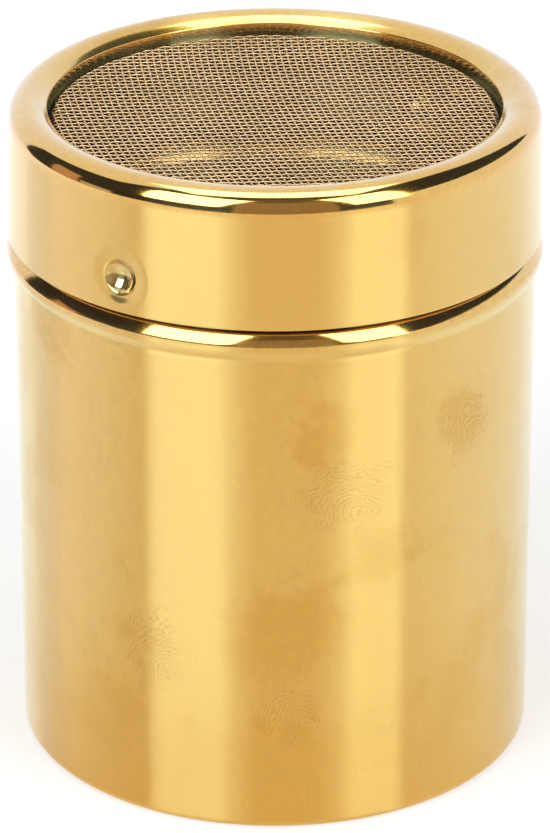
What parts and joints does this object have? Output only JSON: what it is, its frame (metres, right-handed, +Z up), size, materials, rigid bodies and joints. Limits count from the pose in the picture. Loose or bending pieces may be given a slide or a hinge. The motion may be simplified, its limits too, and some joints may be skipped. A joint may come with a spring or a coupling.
{
  "type": "spice shaker dispenser",
  "caption": "Round metal shaker for spice or sugar: a beaded can and a bayonet lid ring that holds a woven wire mesh over the mouth.",
  "frame": {"origin": "centre of the ring that the can stands on, at the level of the table", "axes": "+Z up along the can's axis, -Y towards the front, +X to the right"},
  "size_m": [0.0704, 0.0704, 0.0897],
  "materials": {
    "gold_metal": "gold coloured coating on turned and polished steel, with fine scratches",
    "mesh_wire": "pale gold coloured drawn steel wire, plain woven"
  },
  "bodies": {
    "can": {"can_body": "gold_metal"},
    "retainer": {"mesh_retainer": "gold_metal"},
    "lid": {"lid_shell": "gold_metal", "mesh_warp_wires": "mesh_wire", "mesh_weft_wires": "mesh_wire", "mesh_edge": "mesh_wire"}
  },
  "joints": [
    {"name": "lid_lift", "type": "slide", "parent": "can", "child": "retainer", "axis": [0, 0, 1], "range_m": [0, 0.025]},
    {"name": "lid_twist", "type": "hinge", "parent": "retainer", "child": "lid", "pos_m": [0, 0, 0.0839], "axis": [0, 0, -1], "range_deg": [0, 16]}
  ]
}
